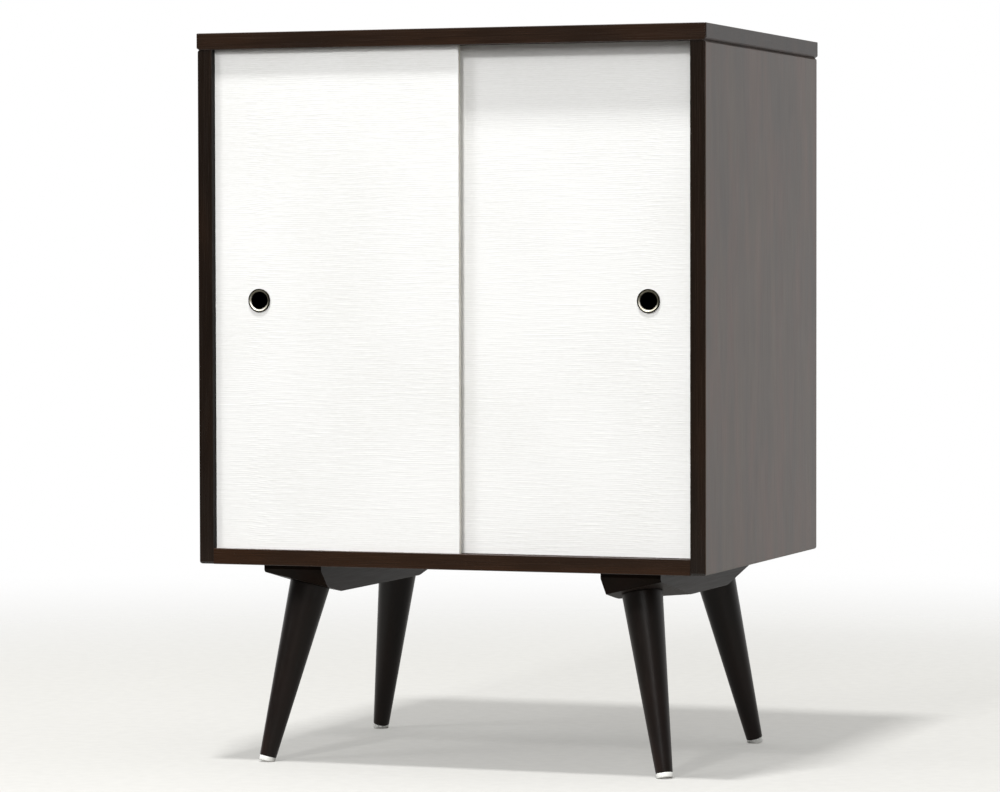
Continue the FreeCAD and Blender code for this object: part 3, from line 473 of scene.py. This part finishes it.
def turned(name, section, segments, matrix, attribute=None, closed=False):
    """A section of pairs (radius, height) in millimetres turned once round its axis.

    Point (i, j) is (r_j cos a_i, r_j sin a_i, z_j) with a_i = 2 pi i / segments. An open section
    starts and ends on the axis, where each ring closes to one point; a closed one joins end to start.
    """
    section = np.asarray(section, float)
    inner = section if closed else section[1:-1]
    angles = np.arange(segments) * 2 * np.pi / segments
    radius = inner[:, 0]
    rings = np.empty((len(inner), segments, 3))
    rings[..., 0] = radius[:, None] * np.cos(angles)
    rings[..., 1] = radius[:, None] * np.sin(angles)
    rings[..., 2] = inner[:, 1][:, None]
    local = rings.reshape(-1, 3)
    row = np.arange(len(inner) if closed else len(inner) - 1)[:, None]
    column = np.arange(segments)[None, :]
    following = (row + 1) % len(inner)
    beside = (column + 1) % segments
    quads = [row * segments + column, row * segments + beside]
    quads += [following * segments + beside, following * segments + column]
    faces = np.stack(np.broadcast_arrays(*quads), axis=-1).reshape(-1, 4).tolist()
    if not closed:
        local = np.vstack([local, [0, 0, section[0, 1]], [0, 0, section[-1, 1]]])
        first, last = len(local) - 2, len(local) - 1
        base = (len(inner) - 1) * segments
        side = np.arange(segments)
        after = (side + 1) % segments
        faces += np.stack([np.full(segments, first), after, side], axis=1).tolist()
        faces += np.stack([np.full(segments, last), base + side, base + after], axis=1).tolist()
    turned_points = (np.c_[local, np.ones(len(local))] @ np.array(matrix).T)[:, :3] * MM
    piece = mesh_piece(name, turned_points, faces)
    face_outwards(piece)
    if attribute:
        store = piece.data.attributes.new(attribute, "FLOAT_VECTOR", "POINT")
        store.data.foreach_set("vector", (local * MM).astype(np.float32).ravel())
    return piece


def leg_matrix(corner):
    """A leg's frame in millimetres: its origin on the seat, its Z axis up the leg."""
    x_sign, y_sign = CORNERS[corner]
    slope = math.tan(LEG_SPLAY)
    up = Vector((-x_sign * slope, -y_sign * slope, 1)).normalized()
    turn = Vector((0, 0, 1)).rotation_difference(up).to_matrix().to_4x4()
    return Matrix.Translation((x_sign * LEG_SEAT[0], y_sign * LEG_SEAT[1], LEG_SEAT[2])) @ turn


def leg_length():
    """Length of a leg from its seat to its glide, so that the worn glide stands on the floor."""
    rise = leg_matrix("front_left")[2][2]
    lean = math.sqrt(1 - rise * rise)
    return (LEG_SEAT[2] + GLIDE_WEAR - GLIDE_RADIUS * lean) / rise - GLIDE_THICKNESS


def leg(corner, material):
    """Turned taper with eased rims, a bolt bore above and a nail bore below."""
    length = leg_length()
    ease = 0.8
    taper = (LEG_TOP_RADIUS - LEG_FOOT_RADIUS) / length
    section = [(0, -BOLT_BORE_DEPTH), (BOLT_BORE, -BOLT_BORE_DEPTH), (BOLT_BORE, 0)]
    section += arc((LEG_TOP_RADIUS - ease, -ease), ease, 90, 0).tolist()
    places = np.linspace(-ease * 2, -length + ease * 2, 14)
    section += np.stack([LEG_TOP_RADIUS + places * taper, places], axis=1).tolist()
    section += arc((LEG_FOOT_RADIUS - ease, -length + ease), ease, 0, -90).tolist()
    bore_end = -length + NAIL_BORE_DEPTH
    section += [(NAIL_BORE, -length), (NAIL_BORE, bore_end), (0, bore_end)]
    piece = turned(f"{corner}_turned_leg", section, 96, leg_matrix(corner), attribute="along_leg")
    paint(piece, material)
    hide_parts(f"{corner}_leg")
    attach(piece, "case")


def glide(corner, material):
    """Nylon disc with an eased lower edge and a sunk nail hole.

    A point that would lie below the floor is lifted onto it, where the disc is worn flat.
    """
    top = -leg_length()
    bottom = top - GLIDE_THICKNESS
    ease = 1.4
    small = 0.5
    step = bottom + GLIDE_RECESS_DEPTH
    section = [(NAIL_BORE, step), (NAIL_BORE, top)]
    section += arc((GLIDE_RADIUS - small, top - small), small, 90, 0, 4).tolist()
    section += arc((GLIDE_RADIUS - ease, bottom + ease), ease, 0, -90, 8).tolist()
    flat_ends = (GLIDE_RADIUS - ease - 0.4, bottom), (GLIDE_RECESS_RADIUS + 0.4, bottom)
    section += np.linspace(*flat_ends, 8).tolist()
    section += [(GLIDE_RECESS_RADIUS, bottom + 0.2), (GLIDE_RECESS_RADIUS, step)]
    piece = turned(f"{corner}_nylon_glide", section, 72, leg_matrix(corner), closed=True)
    points = np.empty(len(piece.data.vertices) * 3)
    piece.data.vertices.foreach_get("co", points)
    points[2::3] = np.maximum(points[2::3], 0.0)
    piece.data.vertices.foreach_set("co", points)
    paint(piece, material)
    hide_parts(f"{corner}_glide")
    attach(piece, "case")


def eyelet(track, x, face_y, material):
    """Stamped eyelet: a rolled bead outside, a slope inwards at 27 degrees, a barrel through the door."""
    barrel_end = 7.5
    barrel_inside = 10.0
    barrel_outside = 10.7
    rim = 13.4
    bead_centre = (12.8, -0.95)
    section = [(barrel_inside, barrel_end), (barrel_inside, 0.5)]
    section += np.linspace((barrel_inside + 0.06, 0.0), (12.2, -1.1), 6).tolist()
    section += arc(bead_centre, rim - bead_centre[0], 195, 360, 16).tolist()
    section += [(rim, -0.1), (rim - 0.1, 0.0), (barrel_outside, 0.0), (barrel_outside, barrel_end)]
    turn = Matrix.Translation((x, face_y, DOOR_PULL_Z)) @ Matrix.Rotation(math.radians(-90), 4, "X")
    piece = turned(f"{track}_door_eyelet", section, 96, turn, attribute="eyelet_place", closed=True)
    paint(piece, material)
    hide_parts(f"{track}_door_pull")
    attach(piece, f"{track}_door")


def smooth_noise(rng, rows, columns, at_row, at_column):
    """Random table from 0 to 1, read at arrays of rows and columns.

    Between rows the value changes evenly; between columns by t * t * (3 - 2 t) of the way t.
    """
    table = rng.random((rows + 2, columns + 2))
    row = np.clip(at_row, 0, rows)
    column = np.clip(at_column, 0, columns)
    low_row, low_column = row.astype(int), column.astype(int)
    up, across = row - low_row, column - low_column
    across = across * across * (3 - 2 * across)
    first = table[low_row, low_column] * (1 - across) + table[low_row, low_column + 1] * across
    second = table[low_row + 1, low_column] * (1 - across) + table[low_row + 1, low_column + 1] * across
    return first * (1 - up) + second * up


def door_facing(track, pull_x, seed, material):
    """Ribbed cloth on a door: a grid over the whole face with a hole for the pull.

    The depth at (x, z) is relief times yarn(k, x) times sin(pi f) ** 0.7, where k and f are the
    whole part and the rest of z / pitch + wander(x, z), wander is a sum of slow sines, and yarn is
    smooth noise along each rib. Rows are a quarter of a rib apart; columns close up round the hole.
    """
    node = f"{track}_door_facing"
    low, high = (np.array(corner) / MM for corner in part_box(node))
    rng = np.random.default_rng(seed)
    pitch = 2.35
    relief = 0.14
    hole = 12.3
    dense_reach = 16.0
    dense_step = 1.0
    wide_step = 6.5
    snap_reach = 0.62
    rows = int(round((high[2] - low[2]) / pitch * 4)) + 1
    z = np.linspace(low[2], high[2], rows)
    dense = np.arange(-dense_reach, dense_reach + dense_step / 2, dense_step) + pull_x
    left_count = max(2, int((dense[0] - low[0]) / wide_step))
    right_count = max(2, int((high[0] - dense[-1]) / wide_step))
    left = np.linspace(low[0], dense[0], left_count, endpoint=False)
    right = np.linspace(high[0], dense[-1], right_count, endpoint=False)[::-1]
    x = np.concatenate([left, dense, right])
    grid_x, grid_z = np.meshgrid(x, z)
    distance = np.hypot(grid_x - pull_x, grid_z - DOOR_PULL_Z)
    snap = np.abs(distance - hole) < snap_reach
    pull = np.where(snap, hole / np.maximum(distance, 1e-6), 1.0)
    grid_x = pull_x + (grid_x - pull_x) * pull
    grid_z = DOOR_PULL_Z + (grid_z - DOOR_PULL_Z) * pull
    wander = 0.42 * np.sin(grid_x / 23.0 + 1.9 * np.sin(grid_z / 37.0) + seed)
    wander += 0.3 * np.sin(grid_x / 9.0 + 2.3 * np.sin(grid_z / 13.0)) * np.sin(grid_z / 61.0 + seed)
    phase = (grid_z - low[2]) / pitch + wander + 1
    whole = np.floor(phase)
    ribs = int(phase.max()) + 2
    across = (grid_x - low[0]) / (high[0] - low[0])
    slubs, knots = 26, 90
    yarn = 0.25 + 0.75 * smooth_noise(rng, ribs, slubs, whole, across * slubs)
    yarn *= 0.75 + 0.5 * smooth_noise(rng, ribs, knots, whole, across * knots)
    depth = relief * (1 - np.clip(yarn, 0, 1) * np.sin(np.pi * (phase - whole)) ** 0.7)
    points = np.stack([grid_x, low[1] + depth, grid_z], axis=-1).reshape(-1, 3)
    columns = len(x)
    row_index, column_index = np.meshgrid(np.arange(rows - 1), np.arange(columns - 1), indexing="ij")
    corner = (row_index * columns + column_index).ravel()
    quads = np.stack([corner, corner + 1, corner + columns + 1, corner + columns], axis=1)
    centres = points[quads].mean(axis=1)
    outside = np.hypot(centres[:, 0] - pull_x, centres[:, 2] - DOOR_PULL_Z) > hole
    piece = mesh_piece(f"{track}_door_grass_cloth", points * MM, quads[outside].tolist(), sharp=180.0)
    work = bmesh.new()
    work.from_mesh(piece.data)
    loose = [vertex for vertex in work.verts if not vertex.link_faces]
    bmesh.ops.delete(work, geom=loose, context="VERTS")
    rim = [edge for edge in work.edges if edge.is_boundary]
    grown = bmesh.ops.extrude_edge_only(work, edges=rim)["geom"]
    back = [item for item in grown if isinstance(item, bmesh.types.BMVert)]
    flat = Matrix.Diagonal((1, 0, 1, 1))
    bmesh.ops.transform(work, matrix=flat, verts=back)
    bmesh.ops.translate(work, verts=back, vec=(0, (high[1] - 0.02) * MM, 0))
    edges = [item for item in grown if isinstance(item, bmesh.types.BMEdge) and item.is_boundary]
    bmesh.ops.triangle_fill(work, edges=edges, use_beauty=False)
    bmesh.ops.recalc_face_normals(work, faces=work.faces)
    work.to_mesh(piece.data)
    work.free()
    piece.data.shade_smooth()
    piece.data.set_sharp_from_angle(angle=math.radians(60))
    paint(piece, material)
    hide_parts(node)
    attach(piece, f"{track}_door")


def set_camera():
    """The photograph's own camera, found from the corners of the case and the legs."""
    data = bpy.data.cameras.new("camera")
    camera = bpy.data.objects.new("camera", data)
    bpy.context.scene.collection.objects.link(camera)
    data.sensor_fit = "HORIZONTAL"
    data.sensor_width = 36.0
    data.lens = data.sensor_width * FOCAL_LENGTH / IMAGE_WIDTH
    data.clip_end = 60.0
    yaw, pitch, roll = (math.radians(angle) for angle in CAMERA_ANGLES)
    turn = Matrix.Rotation(yaw, 4, "Z") @ Matrix.Rotation(math.radians(90) + pitch, 4, "X")
    turn @= Matrix.Rotation(roll, 4, "Z")
    camera.location = CAMERA_PLACE
    camera.rotation_euler = turn.to_euler()
    bpy.context.scene.camera = camera


def lamp(name, azimuth, elevation, size, watts):
    """A square soft box that faces the middle of the doors, so many degrees to their left and above."""
    data = bpy.data.lights.new(name, "AREA")
    data.shape = "SQUARE"
    data.size = size
    data.energy = watts
    light = bpy.data.objects.new(name, data)
    bpy.context.scene.collection.objects.link(light)
    aim = Vector((0, DOOR_FACE_Y * MM, DOOR_PULL_Z * MM))
    around, above = math.radians(azimuth), math.radians(elevation)
    level = math.cos(above)
    offset = Vector((-math.sin(around) * level, -math.cos(around) * level, math.sin(above)))
    light.location = aim + offset * LAMP_DISTANCE
    light.rotation_euler = (-offset).to_track_quat("-Z", "Y").to_euler()


def set_world():
    """A white background for the camera, and a bright room behind and above the cabinet.

    The room in front, behind the photographer, lights it from above, hardly from below, and looks
    dim to a shiny surface, which keeps the dark wood dark.
    """
    world = bpy.data.worlds.new("studio")
    bpy.context.scene.world = world
    kit = Finish(world)
    path = kit.add("ShaderNodeLightPath")
    direction = kit.add("ShaderNodeTexCoord").outputs["Generated"]
    parts = kit.add("ShaderNodeSeparateXYZ", Vector=direction)
    back = kit.add("ShaderNodeMapRange", SMOOTH, Value=parts.outputs["Y"], From_Min=-0.2, From_Max=0.6)
    above = kit.add("ShaderNodeMapRange", SMOOTH, Value=parts.outputs["Z"], From_Min=0.15, From_Max=0.45)
    sky = kit.add(
        "ShaderNodeMapRange",
        Value=parts.outputs["Z"],
        From_Min=-0.1,
        From_Max=0.6,
        To_Min=FILL_LOW,
        To_Max=FILL_FRONT,
    )
    fill = kit.add(
        "ShaderNodeMapRange", Value=back.outputs["Result"], To_Min=sky.outputs["Result"], To_Max=FILL_BACK
    )
    bright = kit.add(
        "ShaderNodeMath", LARGEST, i0=back.outputs["Result"], i1=above.outputs["Result"]
    )
    shine = kit.add("ShaderNodeMapRange", Value=bright.outputs[0], To_Min=SHINE_FRONT, To_Max=1.0)
    mirror = kit.add(
        "ShaderNodeMath",
        LARGEST,
        i0=path.outputs["Is Glossy Ray"],
        i1=path.outputs["Is Transmission Ray"],
    )
    unseen = kit.add(
        "ShaderNodeMix", i0=mirror.outputs["Value"], i2=fill.outputs["Result"], i3=shine.outputs["Result"]
    )
    strength = kit.add("ShaderNodeMix", i0=path.outputs["Is Camera Ray"], i2=unseen.outputs[0], i3=1.0)
    light = kit.add("ShaderNodeBackground", Color=from_hex("#FFFFFF"), Strength=strength.outputs[0])
    kit.add("ShaderNodeOutputWorld", Surface=light.outputs[0])


def set_floor():
    """A round sheet of matt paper under the cabinet that fades into the white background far out.

    Point (i, j) is (r_j cos a_i, r_j sin a_i, 0), and the centre closes the innermost ring. For
    the rays that see it, a part of its brightness stays the same in the shade, as on a floor that
    a whole room lights.
    """
    segments = 96
    share_in_shade = 0.45
    fade_start = 0.9
    fade_end = 2.9
    rings = np.array([0.4, 0.8, 1.2, 1.8, 2.6, 3.6, 4.8, 6.0])
    angles = np.arange(segments) * 2 * np.pi / segments
    grid = np.zeros((len(rings), segments, 3))
    grid[..., 0] = np.outer(rings, np.cos(angles))
    grid[..., 1] = np.outer(rings, np.sin(angles))
    points = np.vstack([grid.reshape(-1, 3), [[0, 0, 0]]])
    ring, step = np.meshgrid(np.arange(len(rings) - 1), np.arange(segments), indexing="ij")
    beside = (step + 1) % segments
    here, outside = ring * segments, (ring + 1) * segments
    quads = [here + step, outside + step, outside + beside, here + beside]
    faces = np.stack(quads, axis=-1).reshape(-1, 4).tolist()
    around = np.arange(segments)
    centre = np.full(segments, len(points) - 1)
    faces += np.stack([centre, around, (around + 1) % segments], axis=1).tolist()
    floor = mesh_piece("studio_floor", points, faces)
    kit = Finish(bpy.data.materials.new("matt_paper"))
    place = kit.add("ShaderNodeTexCoord").outputs["Object"]
    tooth = kit.add("ShaderNodeTexNoise", Vector=place, Scale=60.0, Detail=3.0)
    stops = [(0.3, "#D2D1CD"), (0.7, "#D6D5D1")]
    pale = kit.add("ShaderNodeValToRGB", stops=stops, i0=tooth.outputs["Fac"])
    path = kit.add("ShaderNodeLightPath").outputs
    seen = kit.add("ShaderNodeMath", LARGEST, i0=path["Is Camera Ray"], i1=path["Is Glossy Ray"])
    shown = kit.add("ShaderNodeMath", LARGEST, i0=seen.outputs[0], i1=path["Is Transmission Ray"])
    colour = kit.add(
        "ShaderNodeMix",
        COLOURS,
        i0=shown.outputs[0],
        i6=from_hex("#625F5B"),
        i7=pale.outputs["Color"],
    )
    paper = kit.add(
        "ShaderNodeBsdfPrincipled", Base_Color=colour.outputs[2], Roughness=0.9, Specular_IOR_Level=0.2
    )
    room = kit.add("ShaderNodeEmission", Color=pale.outputs["Color"], Strength=1.0)
    even = kit.add("ShaderNodeMath", PRODUCT, i0=shown.outputs[0], i1=share_in_shade)
    lit = kit.add("ShaderNodeMixShader", i0=even.outputs[0], i1=paper.outputs[0], i2=room.outputs[0])
    clear = kit.add("ShaderNodeBsdfTransparent")
    distance = kit.add("ShaderNodeVectorMath", LENGTH, i0=place)
    fade = kit.add(
        "ShaderNodeMapRange",
        SMOOTH,
        Value=distance.outputs["Value"],
        From_Min=fade_start,
        From_Max=fade_end,
    )
    fade = fade.outputs["Result"]
    surface = kit.add("ShaderNodeMixShader", i0=fade, i1=lit.outputs[0], i2=clear.outputs[0])
    kit.add("ShaderNodeOutputMaterial", Surface=surface.outputs[0])
    paint(floor, kit.owner)


set_camera()
set_world()
for values in LAMPS:
    lamp(*values)
set_floor()
bpy.context.scene.view_settings.view_transform = "Standard"

upright = {"along": "Z", "broad": "X", "tones": SIDE_TONES, "warm": SIDE_WARM, "edges": STILE_TONES}
level = {"along": "X", "broad": "Z", "tones": LEVEL_TONES, "warm": LEVEL_WARM}
boards = {
    "top_panel": {**level, "edges": SLAB_EDGE_TONES},
    "left_side_panel": {**upright, "inner": 1},
    "right_side_panel": {**upright, "inner": -1},
    "bottom_panel": {**level, "edges": RAIL_TONES},
    "adjustable_shelf": {**level, "edges": RAIL_TONES},
}
for index, (node, grain) in enumerate(boards.items()):
    paint(nodes[node], stained_maple(f"stained_maple_{node}", offset=index * 0.71, **grain))
dull = {"gloss": 0.5, "ior": 1.29, "raw_ends": True}
for index, node in enumerate(("left_cleat", "right_cleat")):
    cleat_maple = stained_maple(f"stained_maple_{node}", "Y", CLEAT_TONES, offset=3.4 + index, **dull)
    paint(nodes[node], cleat_maple)
nylon = moulded_nylon()
satin = {"gloss": 0.37, "ior": 1.29, "attribute": "along_leg"}
leg_maple = stained_maple("stained_maple_legs", "Z", LEG_TONES, offset=5.11, **satin)
for corner in CORNERS:
    leg(corner, leg_maple)
    glide(corner, nylon)
cloth = painted_grass_cloth()
nickel = nickel_wear_and_shade("nickel_plate_painted_shade", "eyelet_place")
plain_nickel = nickel_wear_and_shade("nickel_plate")
door_core = painted_hardboard()
door_facing("front", -DOOR_PULL_X, 3, cloth)
door_facing("rear", DOOR_PULL_X, 8, cloth)
for track, sign in (("front", -1), ("rear", 1)):
    face_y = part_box(f"{track}_door_facing")[0][1] / MM
    eyelet(track, sign * DOOR_PULL_X, face_y, nickel)
    paint(nodes[f"{track}_door_panel"], door_core)
    paint(nodes[f"{track}_door_pull_backing"], plain_nickel)
paint(nodes["back_panel"], brown_hardboard())
steel = zinc_plated_steel()
beech = bare_beech()
for node in nodes:
    if node.endswith(("_screws", "_bolt", "_nut", "_nail")):
        paint(nodes[node], steel)
    if node.endswith("_dowels"):
        paint(nodes[node], beech)
paint(nodes["shelf_pins"], turned_brass())
